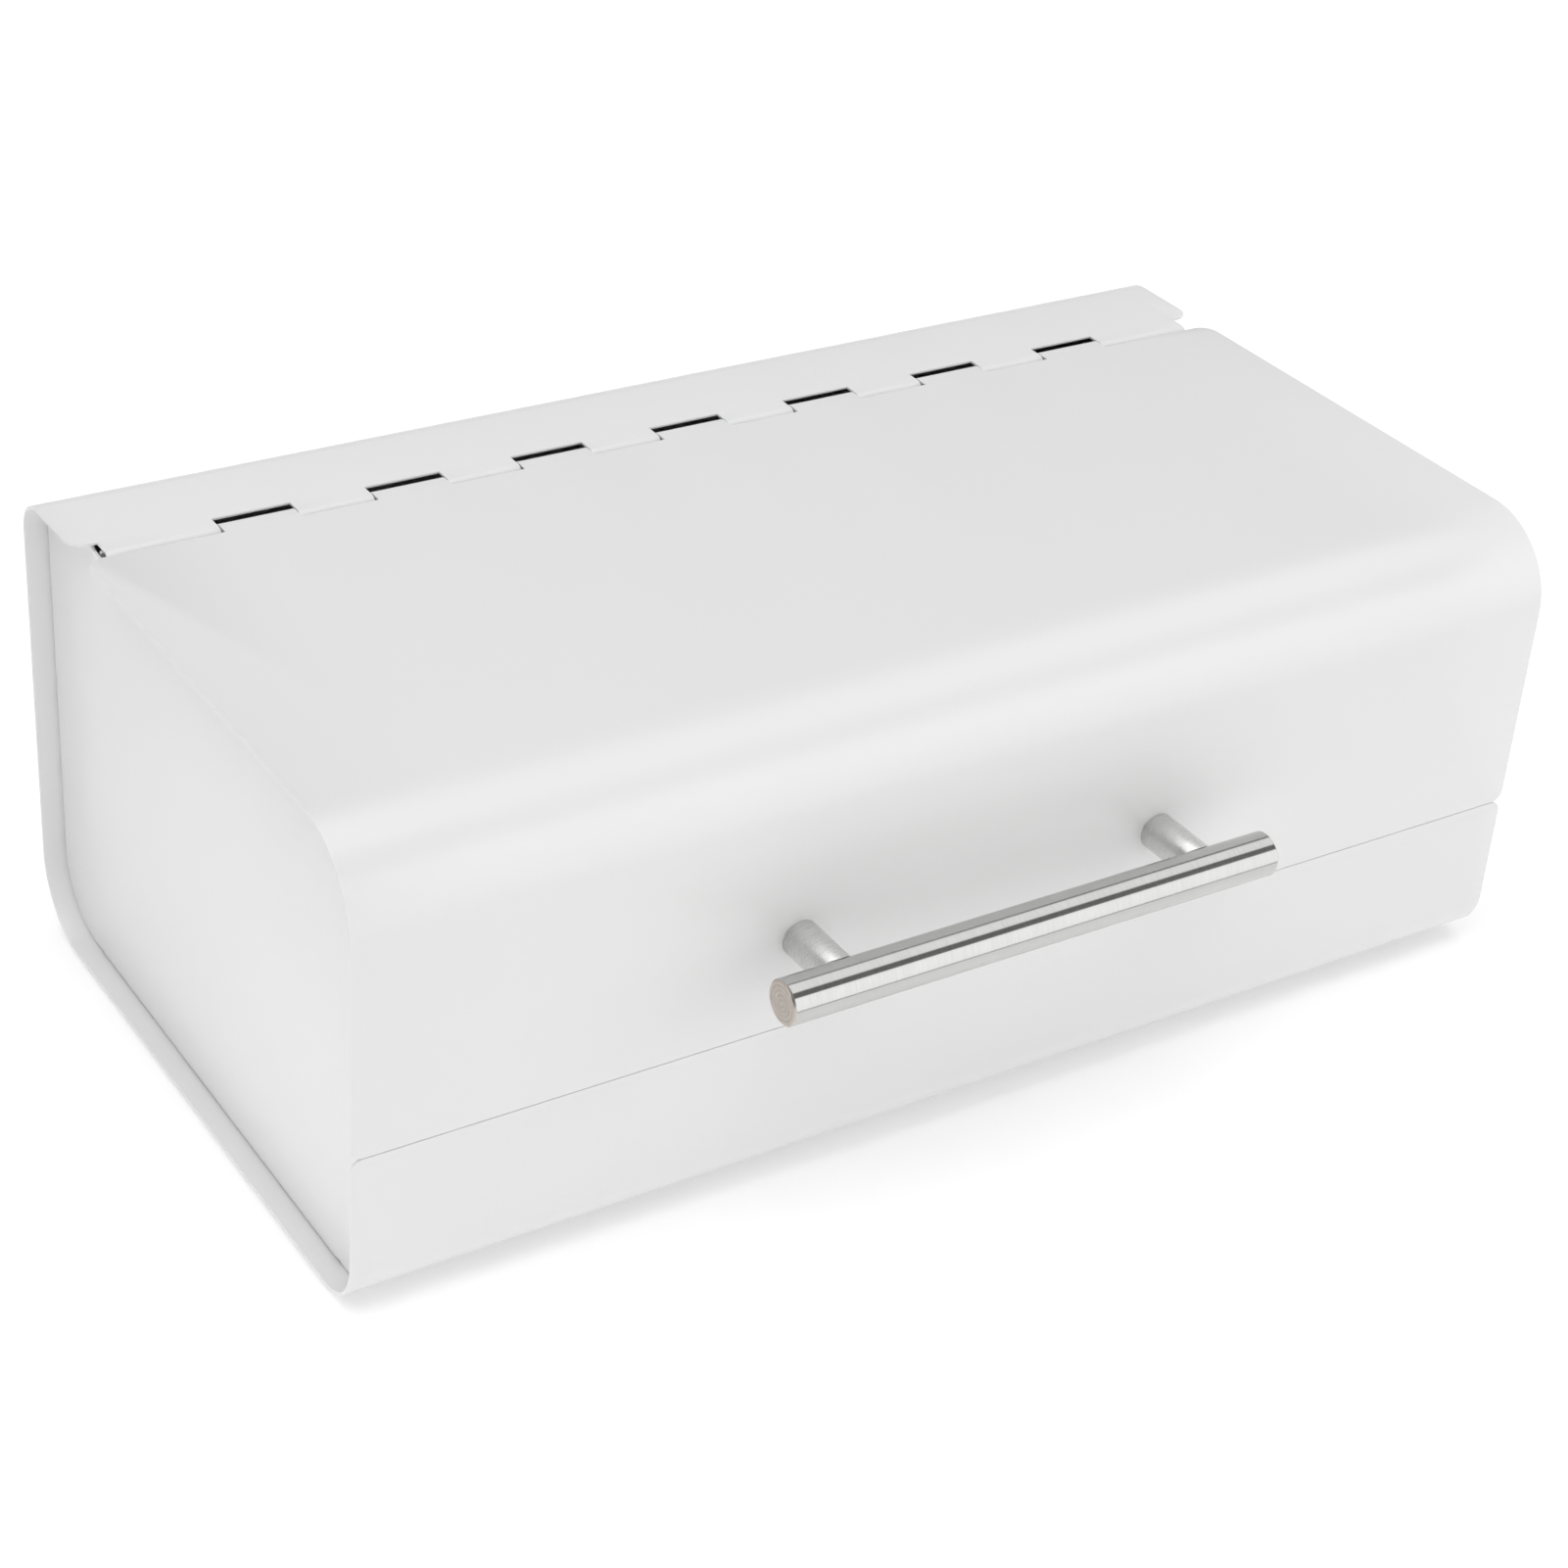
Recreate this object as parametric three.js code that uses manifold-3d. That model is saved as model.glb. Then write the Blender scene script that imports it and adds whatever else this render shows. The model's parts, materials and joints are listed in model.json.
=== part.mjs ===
// Bread box of bent sheet steel with a hinged lid and a round bar handle.
//
// Units are millimetres. +Z is up, the front faces -Y and +X runs along the box.
// The box is drawn with the outside of its front at y = 0 and the floor at z = 0.
// At the end the whole box is moved so that the origin lies under its middle.

import * as THREE from 'three';
import { mergeVertices } from 'three/addons/utils/BufferGeometryUtils.js';
import Module from 'manifold-3d';

const wasm = await Module();
wasm.setup();

// ---------------------------------------------------------------- driving dimensions

const WIDTH = 420;            // length of both bent sheets, along X
const DEPTH = 226;            // outside of the front to outside of the back
const SHEET = 1;              // sheet thickness, paint included
const FOOT_HEIGHT = 2;        // floor to the underside of the bottom
const BODY_HEIGHT = 153.5;    // underside of the bottom to the top of the lid
const SPLIT_HEIGHT = 55;      // underside of the bottom to the split in the front
const GAP = 0.3;              // clearance between pieces that touch in real life
const SPLIT_GAP = 0.5;        // between the lid's lower edge and the front strip

const LID_BEND = 28;          // outside radii of the bends
const BACK_TOP_BEND = 12;
const BACK_BOTTOM_BEND = 25;
const FRONT_BOTTOM_BEND = 17;
const HINGE_CORNER = 6;       // rounded free corners beside the hinge
const SPLIT_CORNER = 4;       // rounded free corners at the split

const PIN_RADIUS = 2.45;
const PIN_CLEARANCE = 0.4;    // between the pin and the rolled knuckles
const HINGE_FROM_BACK = 44.4;  // pin axis to the outside of the back
const KNUCKLE_PITCH = 50.8;   // from one lid knuckle to the next
const LID_KNUCKLES = 7;
const KNUCKLE_GAP = 0.5;      // between neighbouring knuckles, along the pin
const FRONT_NOTCH_GAP = 0.5;  // from the lid's edge to the body's knuckles
const REAR_NOTCH_GAP = 1.5;   // from the body's edge to the lid's knuckles
const ROLL_ANGLE = 300;       // how far round the pin a knuckle is rolled, in degrees
const HINGE_ROOM = 2;         // between a rolled knuckle and the side panels' flange

const PANEL_INSET = 7;        // from the ends of the bent sheets to the side panels
const FLANGE = 10;            // width of the side panels' folded flange
const LID_REST_GAP = 1.6;     // between the side panels' upper edge and the lid
const REAR_STEP = 2;          // behind the hinge notches, where the panels rise to the sheet
const FRONT_STEP = 6;         // below the front strip's edge, where they draw back from it

const BAR_RADIUS = 7;
const BAR_LENGTH = 173;
const BAR_CHAMFER = 0.6;
const BAR_STANDOFF = 25;      // front of the lid to the axis of the bar
const BAR_HEIGHT = 85;        // underside of the bottom to the axis of the bar
const BAR_OFFSET = -3.5;      // middle of the handle from the middle of the box
const POST_RADIUS = 6;
const POST_SPACING = 129;
const SCREW_RADIUS = 2;
const SCREW_BITE = 9;         // how deep a screw goes into the bar
const HEAD_RADIUS = 4;
const HEAD_HEIGHT = 2.4;
const TIP_CHAMFER = 0.6;
const RECESS_WIDTH = 0.8;     // of the cross recess in a screw head
const RECESS_LENGTH = 4;
const RECESS_DEPTH = 0.8;
const WASHER_RADIUS = 6;
const WASHER_THICKNESS = 0.9;
const WASHER_CHAMFER = 0.15;

const FOOT_RADIUS = 7;
const FOOT_ROUND = 0.7;       // how far a foot's rounded rim reaches inwards
const FOOT_INSET = 26;        // from the ends and from the front to the middle of a foot
const REAR_FOOT_INSET = 38;   // from the back to the middle of a foot
const BUMPER_RADIUS = 3;
const BUMPER_SETBACK = 48;    // from the front to a lid bumper

const BEND_STEP = 7.5;        // degrees of a bend in one facet
const ROLL_STEP = 20;         // degrees of a knuckle in one facet
const BAR_SIDES = 36;
const ROUND_SIDES = 28;
const HOLE_SIDES = 16;
const OVERCUT = 1;            // how far a cutter reaches beyond what it cuts

// ---------------------------------------------------------------- derived dimensions

const BOTTOM = FOOT_HEIGHT;
const TOP = BOTTOM + BODY_HEIGHT;
const HALF = WIDTH / 2;
const STRIP_TOP = BOTTOM + SPLIT_HEIGHT - SPLIT_GAP;
const LID_BOTTOM = BOTTOM + SPLIT_HEIGHT;

const BORE_RADIUS = PIN_RADIUS + PIN_CLEARANCE;
const ROLL_RADIUS = BORE_RADIUS + SHEET;
const PIN_Y = DEPTH - HINGE_FROM_BACK;
const PIN_Z = TOP - ROLL_RADIUS;
const BODY_NOTCH_Y = PIN_Y + ROLL_RADIUS + REAR_NOTCH_GAP;
const LID_NOTCH_Y = PIN_Y - ROLL_RADIUS - FRONT_NOTCH_GAP;

const PANEL_OUTSIDE = HALF - PANEL_INSET;
const PANEL_INSIDE = PANEL_OUTSIDE - SHEET;
const KNUCKLE_WIDTH = KNUCKLE_PITCH / 2 - KNUCKLE_GAP;
const END_KNUCKLE_OUT = PANEL_INSIDE - KNUCKLE_GAP;
const PIN_LENGTH = 2 * END_KNUCKLE_OUT - 1;

const BAR_Z = BOTTOM + BAR_HEIGHT;
const POST_X = [BAR_OFFSET - POST_SPACING / 2, BAR_OFFSET + POST_SPACING / 2];

// ---------------------------------------------------------------- finishes

const finish = (color, roughness, metalness) =>
  () => new THREE.MeshStandardMaterial({ color, roughness, metalness });
const whitePaint = finish(0xe9e9e7, 0.42, 0);
const brushedSteel = finish(0xb9b6b0, 0.32, 1);
const zincSteel = finish(0xa9abab, 0.38, 1);
const greyRubber = finish(0x8d8f8f, 0.8, 0);
const clearSilicone = finish(0xdfe2e0, 0.5, 0);

// ---------------------------------------------------------------- geometry helpers

const radians = THREE.MathUtils.degToRad;

// Turns a closed geometry into a solid that can be joined and cut.
function toSolid(geometry) {
  const bare = geometry.clone();
  bare.deleteAttribute('normal');
  bare.deleteAttribute('uv');
  const merged = mergeVertices(bare, 1e-4);
  const vertProperties = new Float32Array(merged.attributes.position.array);
  const triVerts = new Uint32Array(merged.index.array);
  return new wasm.Manifold(new wasm.Mesh({ numProp: 3, vertProperties, triVerts }));
}

// Turns a solid back into a geometry.
function toGeometry(solid) {
  const mesh = solid.getMesh();
  const geometry = new THREE.BufferGeometry();
  geometry.setAttribute('position', new THREE.BufferAttribute(mesh.vertProperties, 3));
  geometry.setIndex(new THREE.BufferAttribute(mesh.triVerts, 1));
  geometry.computeVertexNormals();
  return geometry;
}

// Joins geometries and then cuts others out of the result.
function joinAndCut(joined, cut = []) {
  let solid = toSolid(joined[0]);
  for (const geometry of joined.slice(1)) solid = solid.add(toSolid(geometry));
  for (const geometry of cut) solid = solid.subtract(toSolid(geometry));
  return toGeometry(solid);
}

// Mirrors a geometry from one end of the box to the other, with its faces still outwards.
function mirrorX(geometry) {
  const mirrored = geometry.clone().applyMatrix4(new THREE.Matrix4().makeScale(-1, 1, 1));
  const index = mirrored.index
    ? Array.from(mirrored.index.array)
    : Array.from({ length: mirrored.attributes.position.count }, (_, i) => i);
  for (let i = 0; i < index.length; i += 3) [index[i + 1], index[i + 2]] = [index[i + 2], index[i + 1]];
  mirrored.setIndex(index);
  return mirrored;
}

// Extrudes a shape drawn in (y, z) along X, between two positions.
function extrudeAlongX(shape, fromX, toX) {
  const geometry = new THREE.ExtrudeGeometry(shape, {
    depth: toX - fromX, bevelEnabled: false, curveSegments: 12,
  });
  const alongX = new THREE.Matrix4().makeBasis(
    new THREE.Vector3(0, 1, 0), new THREE.Vector3(0, 0, 1), new THREE.Vector3(1, 0, 0));
  return geometry.applyMatrix4(alongX).translate(fromX, 0, 0);
}

// Walks along the outside of a bent sheet and returns its closed outline. `side` says on which
// hand of the walk the metal lies: 1 for the left, -1 for the right. Every bend turns that way.
function bentSheet(start, heading, side, steps) {
  const outside = [];
  const inside = [];
  const at = start.clone();
  let angle = radians(heading);
  const inward = () => new THREE.Vector2(-Math.sin(angle), Math.cos(angle)).multiplyScalar(side);
  const mark = () => {
    outside.push(at.clone());
    inside.push(at.clone().addScaledVector(inward(), SHEET));
  };
  mark();
  for (const { run, bend, radius, facet = BEND_STEP } of steps) {
    if (run) {
      at.add(new THREE.Vector2(Math.cos(angle), Math.sin(angle)).multiplyScalar(run));
      mark();
      continue;
    }
    const centre = at.clone().addScaledVector(inward(), radius);
    const facets = Math.ceil(bend / facet);
    for (let i = 0; i < facets; i += 1) {
      angle += side * radians(bend / facets);
      at.copy(centre).addScaledVector(inward(), -radius);
      mark();
    }
  }
  return new THREE.Shape([...outside, ...inside.reverse()]);
}

// A cutter that rounds a square corner of a plate. The corner is at the origin, the plate fills
// the quarter of growing x and y, and the cutter reaches `reach` to both sides of z = 0.
function cornerCutter(radius, reach) {
  const shape = new THREE.Shape();
  shape.moveTo(-OVERCUT, -OVERCUT);
  shape.lineTo(radius, -OVERCUT);
  shape.lineTo(radius, 0);
  shape.absarc(radius, radius, radius, -Math.PI / 2, -Math.PI, true);
  shape.lineTo(-OVERCUT, radius);
  shape.closePath();
  return new THREE.ExtrudeGeometry(shape, {
    depth: 2 * reach, bevelEnabled: false, curveSegments: 8,
  }).translate(0, 0, -reach);
}

// A solid of revolution about Z. The profile is a list of [radius, height] from axis to axis.
function turned(profile, sides = ROUND_SIDES) {
  return new THREE.LatheGeometry(profile.map(([r, z]) => new THREE.Vector2(r, z)), sides)
    .rotateX(Math.PI / 2);
}

// A plain turned rod with small chamfers, from `low` to `high` along Z.
function rod(radius, low, high, chamfer = 0, sides = ROUND_SIDES) {
  return turned([
    [0, low], [radius - chamfer, low], [radius, low + chamfer],
    [radius, high - chamfer], [radius - chamfer, high], [0, high],
  ].filter(([r, z], i, all) => i === 0 || r !== all[i - 1][0] || z !== all[i - 1][1]), sides);
}

// Lays a shape that is turned about Z along X, or along Y with its foot towards the front.
const layAlongX = (geometry) => geometry.rotateY(Math.PI / 2);
const layAlongY = (geometry) => geometry.rotateX(-Math.PI / 2);

// ---------------------------------------------------------------- hinge knuckles

// One tongue of sheet that runs over the pin and is rolled round it. `towards` is the heading of
// the tongue: 180 for a tongue of the body, which points to the front, and 0 for one of the lid.
function knuckle(fromX, toX, towards) {
  const fromBody = towards === 180;
  const overlap = 3;
  const startY = fromBody ? BODY_NOTCH_Y + overlap : LID_NOTCH_Y - overlap;
  const profile = bentSheet(new THREE.Vector2(startY, TOP), towards, fromBody ? 1 : -1, [
    { run: Math.abs(startY - PIN_Y) },
    { bend: ROLL_ANGLE, radius: ROLL_RADIUS, facet: ROLL_STEP },
  ]);
  return extrudeAlongX(profile, fromX, toX);
}

function lidKnuckles() {
  const tongues = [];
  for (let i = 0; i < LID_KNUCKLES; i += 1) {
    const centre = (i - (LID_KNUCKLES - 1) / 2) * KNUCKLE_PITCH;
    tongues.push(knuckle(centre - KNUCKLE_WIDTH / 2, centre + KNUCKLE_WIDTH / 2, 0));
  }
  return tongues;
}

function bodyKnuckles() {
  const tongues = [];
  for (let i = 0; i < LID_KNUCKLES - 1; i += 1) {
    const centre = (i - (LID_KNUCKLES - 2) / 2) * KNUCKLE_PITCH;
    tongues.push(knuckle(centre - KNUCKLE_WIDTH / 2, centre + KNUCKLE_WIDTH / 2, 180));
  }
  const endKnuckleIn = (LID_KNUCKLES / 2) * KNUCKLE_PITCH - KNUCKLE_WIDTH / 2;
  tongues.push(knuckle(endKnuckleIn, END_KNUCKLE_OUT, 180));
  tongues.push(knuckle(-END_KNUCKLE_OUT, -endKnuckleIn, 180));
  return tongues;
}

// ---------------------------------------------------------------- the two bent sheets

// Cutters for the corners at both ends of a sheet edge that runs along X. `onFront` says that
// the edge is on the front of the box and not on its top, and `plateBeyond` that the plate lies
// on the +Y side of the edge (the +Z side on the front).
function roundEdgeEnds(radius, edge, onFront, plateBeyond) {
  const cutter = cornerCutter(radius, 2 * SHEET);
  if (!plateBeyond) cutter.rotateZ(-Math.PI / 2);
  const atLowX = cutter.clone();
  if (onFront) atLowX.rotateX(Math.PI / 2);
  atLowX.translate(-HALF, onFront ? 0 : edge, onFront ? edge : TOP);
  return [atLowX, mirrorX(atLowX)];
}

// The body's sheet: the strip behind the hinge, the back, the bottom and the strip in front.
function makeBodyWrap() {
  const profile = bentSheet(new THREE.Vector2(BODY_NOTCH_Y, TOP), 0, -1, [
    { run: DEPTH - BACK_TOP_BEND - BODY_NOTCH_Y },
    { bend: 90, radius: BACK_TOP_BEND },
    { run: BODY_HEIGHT - BACK_TOP_BEND - BACK_BOTTOM_BEND },
    { bend: 90, radius: BACK_BOTTOM_BEND },
    { run: DEPTH - BACK_BOTTOM_BEND - FRONT_BOTTOM_BEND },
    { bend: 90, radius: FRONT_BOTTOM_BEND },
    { run: STRIP_TOP - BOTTOM - FRONT_BOTTOM_BEND },
  ]);
  return joinAndCut(
    [extrudeAlongX(profile, -HALF, HALF), ...bodyKnuckles()],
    [
      ...roundEdgeEnds(HINGE_CORNER, BODY_NOTCH_Y, false, true),
      ...roundEdgeEnds(SPLIT_CORNER, STRIP_TOP, true, false),
    ]);
}

// The lid's sheet: the top in front of the hinge, the wide bend and the front.
function makeLid() {
  const profile = bentSheet(new THREE.Vector2(LID_NOTCH_Y, TOP), 180, 1, [
    { run: LID_NOTCH_Y - LID_BEND },
    { bend: 90, radius: LID_BEND },
    { run: TOP - LID_BEND - LID_BOTTOM },
  ]);
  const screwHoles = POST_X.map((x) =>
    layAlongY(rod(SCREW_RADIUS + GAP, -OVERCUT, SHEET + OVERCUT, 0, HOLE_SIDES)).translate(x, 0, BAR_Z));
  return joinAndCut(
    [extrudeAlongX(profile, -HALF, HALF), ...lidKnuckles()],
    [
      ...roundEdgeEnds(HINGE_CORNER, LID_NOTCH_Y, false, false),
      ...roundEdgeEnds(SPLIT_CORNER, LID_BOTTOM, true, true),
      ...screwHoles,
    ]);
}

// ---------------------------------------------------------------- side panels

// Outline of a side panel in (y, z), drawn in by `inset`. It lies close inside the body's sheet,
// leaves more room under the lid, and follows every bend.
function panelOutline(inset) {
  const wall = SHEET + GAP + inset;
  const lidWall = SHEET + LID_REST_GAP + inset;
  const shape = new THREE.Shape();
  const corner = (y, z, bendRadius, wallHere, fromAngle) => {
    const radius = bendRadius - wallHere;
    shape.absarc(y, z, radius, radians(fromAngle), radians(fromAngle + 90), false);
  };
  const rearStep = BODY_NOTCH_Y + REAR_STEP;
  const frontStep = STRIP_TOP - FRONT_STEP;
  shape.moveTo(LID_BEND, TOP - lidWall);
  corner(LID_BEND, TOP - LID_BEND, LID_BEND, lidWall, 90);
  shape.lineTo(lidWall, frontStep + lidWall - wall);
  shape.lineTo(wall, frontStep);
  corner(FRONT_BOTTOM_BEND, BOTTOM + FRONT_BOTTOM_BEND, FRONT_BOTTOM_BEND, wall, 180);
  corner(DEPTH - BACK_BOTTOM_BEND, BOTTOM + BACK_BOTTOM_BEND, BACK_BOTTOM_BEND, wall, 270);
  corner(DEPTH - BACK_TOP_BEND, TOP - BACK_TOP_BEND, BACK_TOP_BEND, wall, 0);
  shape.lineTo(rearStep, TOP - wall);
  shape.lineTo(rearStep - lidWall + wall, TOP - lidWall);
  shape.closePath();
  return shape;
}

// A side panel is a plate with its rim folded inwards. The rim is left out round the hinge.
function makeSidePanel() {
  const flangeInside = PANEL_INSIDE - FLANGE + SHEET;
  const tray = extrudeAlongX(panelOutline(0), flangeInside, PANEL_OUTSIDE);
  const hollow = extrudeAlongX(panelOutline(SHEET), flangeInside - SHEET, PANEL_INSIDE);
  const room = 2 * (ROLL_RADIUS + HINGE_ROOM);
  const hingeRoom = new THREE.BoxGeometry(FLANGE + SHEET, room, room)
    .translate(PANEL_INSIDE - (FLANGE + SHEET) / 2, PIN_Y, PIN_Z);
  return joinAndCut([tray], [hollow, hingeRoom]);
}

// ---------------------------------------------------------------- handle

function makeBar() {
  const bar = layAlongX(rod(BAR_RADIUS, -BAR_LENGTH / 2, BAR_LENGTH / 2, BAR_CHAMFER, BAR_SIDES))
    .translate(BAR_OFFSET, -BAR_STANDOFF, BAR_Z);
  const holes = POST_X.map((x) => {
    const hole = rod(SCREW_RADIUS + GAP, 0, SCREW_BITE + 2 * GAP, 0, HOLE_SIDES);
    const mouth = BAR_RADIUS + GAP;
    return layAlongY(hole).translate(x, -BAR_STANDOFF + mouth - SCREW_BITE - 2 * GAP, BAR_Z);
  });
  return joinAndCut([bar], holes);
}

// A hollow post between the lid and the bar. Its outer end is coped to the bar.
function makePost(x) {
  const post = layAlongY(rod(POST_RADIUS, 0, BAR_STANDOFF - GAP)).translate(x, -BAR_STANDOFF, BAR_Z);
  const bore = layAlongY(rod(SCREW_RADIUS + GAP, -OVERCUT, BAR_STANDOFF + OVERCUT, 0, HOLE_SIDES))
    .translate(x, -BAR_STANDOFF, BAR_Z);
  const barRoom = layAlongX(rod(BAR_RADIUS + GAP, -2 * POST_RADIUS, 2 * POST_RADIUS, 0, BAR_SIDES))
    .translate(x, -BAR_STANDOFF, BAR_Z);
  return joinAndCut([post], [bore, barRoom]);
}

// A flat washer against the inside of the lid.
function makeWasher(x) {
  const washer = layAlongY(rod(WASHER_RADIUS, 0, WASHER_THICKNESS, WASHER_CHAMFER));
  const hole = rod(SCREW_RADIUS + GAP, -OVERCUT, WASHER_THICKNESS + OVERCUT, 0, HOLE_SIDES);
  const bore = layAlongY(hole);
  return joinAndCut([washer], [bore]).translate(x, SHEET + GAP, BAR_Z);
}

// A pan-head screw with a cross recess. It passes the lid and the post and holds the bar.
function makeScrew(x) {
  const seat = SHEET + 2 * GAP + WASHER_THICKNESS;
  const tip = -BAR_STANDOFF + BAR_RADIUS - SCREW_BITE;
  const screw = layAlongY(turned([
    [0, tip], [SCREW_RADIUS - TIP_CHAMFER, tip], [SCREW_RADIUS, tip + TIP_CHAMFER],
    [SCREW_RADIUS, seat],
    [HEAD_RADIUS, seat], [HEAD_RADIUS, seat + 0.5 * HEAD_HEIGHT],
    [0.86 * HEAD_RADIUS, seat + 0.82 * HEAD_HEIGHT], [0.55 * HEAD_RADIUS, seat + HEAD_HEIGHT],
    [0, seat + HEAD_HEIGHT],
  ], HOLE_SIDES));
  const slot = new THREE.BoxGeometry(RECESS_WIDTH, 2 * RECESS_DEPTH, RECESS_LENGTH)
    .translate(0, seat + HEAD_HEIGHT, 0);
  const crossSlot = new THREE.BoxGeometry(RECESS_LENGTH, 2 * RECESS_DEPTH, RECESS_WIDTH)
    .translate(0, seat + HEAD_HEIGHT, 0);
  return joinAndCut([screw], [slot, crossSlot]).translate(x, 0, BAR_Z);
}

// ---------------------------------------------------------------- feet and bumpers

// A low rubber pad with a rounded rim and a flat underside.
function makeFoot(x, y) {
  const top = FOOT_HEIGHT - GAP;
  return turned([
    [0, 0], [FOOT_RADIUS - FOOT_ROUND, 0], [FOOT_RADIUS - 0.3 * FOOT_ROUND, 0.3 * FOOT_ROUND],
    [FOOT_RADIUS, FOOT_ROUND],
    [FOOT_RADIUS, top], [0, top],
  ]).translate(x, y, 0);
}

// A small dome on a side panel's upper flange that the closed lid rests on.
function makeBumper(x) {
  const base = TOP - SHEET - LID_REST_GAP + GAP;
  const height = LID_REST_GAP - 2 * GAP;
  return turned([
    [0, 0], [BUMPER_RADIUS, 0], [BUMPER_RADIUS, 0.4 * height],
    [0.75 * BUMPER_RADIUS, 0.85 * height], [0.4 * BUMPER_RADIUS, height], [0, height],
  ], HOLE_SIDES).translate(x, BUMPER_SETBACK, base);
}

// ---------------------------------------------------------------- assembly

const box = new THREE.Group();
const lidGroup = new THREE.Group();

function add(group, name, geometry, material) {
  const mesh = new THREE.Mesh(geometry, material());
  mesh.name = name;
  group.add(mesh);
}

const rightPanel = makeSidePanel();
add(box, 'body_wrap', makeBodyWrap(), whitePaint);
add(box, 'side_panel_right', rightPanel, whitePaint);
add(box, 'side_panel_left', mirrorX(rightPanel), whitePaint);
add(box, 'hinge_pin', layAlongX(rod(PIN_RADIUS, -PIN_LENGTH / 2, PIN_LENGTH / 2, 0.3, 16))
  .translate(0, PIN_Y, PIN_Z), zincSteel);

const bumperX = PANEL_INSIDE - FLANGE / 2;
for (const [sideName, side] of [['left', -1], ['right', 1]]) {
  add(box, `lid_bumper_${sideName}`, makeBumper(side * bumperX), clearSilicone);
  const footX = side * (HALF - FOOT_INSET);
  add(box, `foot_front_${sideName}`, makeFoot(footX, FOOT_INSET), greyRubber);
  add(box, `foot_rear_${sideName}`, makeFoot(footX, DEPTH - REAR_FOOT_INSET), greyRubber);
}

add(lidGroup, 'lid', makeLid(), whitePaint);
add(lidGroup, 'handle_bar', makeBar(), brushedSteel);
for (const [sideName, x] of [['left', POST_X[0]], ['right', POST_X[1]]]) {
  add(lidGroup, `handle_post_${sideName}`, makePost(x), brushedSteel);
  add(lidGroup, `handle_washer_${sideName}`, makeWasher(x), zincSteel);
  add(lidGroup, `handle_screw_${sideName}`, makeScrew(x), zincSteel);
}

const breadBox = new THREE.Group();
breadBox.add(box, lidGroup);
breadBox.position.y = -(DEPTH - BAR_STANDOFF - BAR_RADIUS) / 2;

export default breadBox;
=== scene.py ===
"""Bread box of white powder-coated sheet steel, with a hinged lid and a round steel bar handle.

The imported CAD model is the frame. Every piece that shows is modelled here around it as a sheet
worker would: flat blanks are extruded and bent along their edges, round parts are turned, and the
result is thickened, edge-rounded and painted. Lengths are in metres unless a name says otherwise.
"""

import json
import logging
import math
from contextlib import contextmanager
from dataclasses import dataclass, field
from enum import Enum
from typing import Callable, Iterator

import bmesh
import bpy
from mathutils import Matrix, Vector


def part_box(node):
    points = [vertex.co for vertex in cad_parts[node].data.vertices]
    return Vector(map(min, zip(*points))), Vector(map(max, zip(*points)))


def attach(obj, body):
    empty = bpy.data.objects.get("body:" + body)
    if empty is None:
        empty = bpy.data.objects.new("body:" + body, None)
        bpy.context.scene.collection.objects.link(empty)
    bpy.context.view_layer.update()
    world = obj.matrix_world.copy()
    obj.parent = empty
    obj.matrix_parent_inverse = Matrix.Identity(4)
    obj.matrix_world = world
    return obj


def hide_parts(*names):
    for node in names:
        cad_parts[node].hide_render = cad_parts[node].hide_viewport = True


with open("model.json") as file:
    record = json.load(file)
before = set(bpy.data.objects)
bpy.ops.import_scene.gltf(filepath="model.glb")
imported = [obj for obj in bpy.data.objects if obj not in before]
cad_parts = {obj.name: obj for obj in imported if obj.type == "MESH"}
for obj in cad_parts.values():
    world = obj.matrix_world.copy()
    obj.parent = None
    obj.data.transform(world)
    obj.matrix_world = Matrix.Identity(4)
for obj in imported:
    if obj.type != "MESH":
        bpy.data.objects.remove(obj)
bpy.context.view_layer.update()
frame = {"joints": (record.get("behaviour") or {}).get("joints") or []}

logging.basicConfig(level=logging.INFO, format="%(name)s: %(message)s")
log = logging.getLogger("bread_box")

MM = 0.001
TINY = 0.02 * MM          # how near a point has to lie to a plane to count as on it
Point = tuple[float, float, float]
Colour = tuple[float, float, float, float]


# ------------------------------------------------------------------ named choices


class Body(Enum):
    """The rigid bodies that pieces ride on."""

    BOX = "box"
    LID = "lid_assembly"


class Slot(Enum):
    """The record's material slots."""

    PAINT = "white_powder_coat"
    STAINLESS = "brushed_stainless_steel"
    ZINC = "zinc_plated_steel"
    RUBBER = "grey_rubber"
    SILICONE = "clear_silicone"


class Side(Enum):
    """The two ends of the box, as signs along X."""

    LEFT = -1
    RIGHT = 1


class Part(Enum):
    """What an edit-mode step picks. The names are the select modes, the values the mesh's lists."""

    VERT = "verts"
    EDGE = "edges"
    FACE = "faces"


# ------------------------------------------------------------------ sizes from the frame


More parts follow.
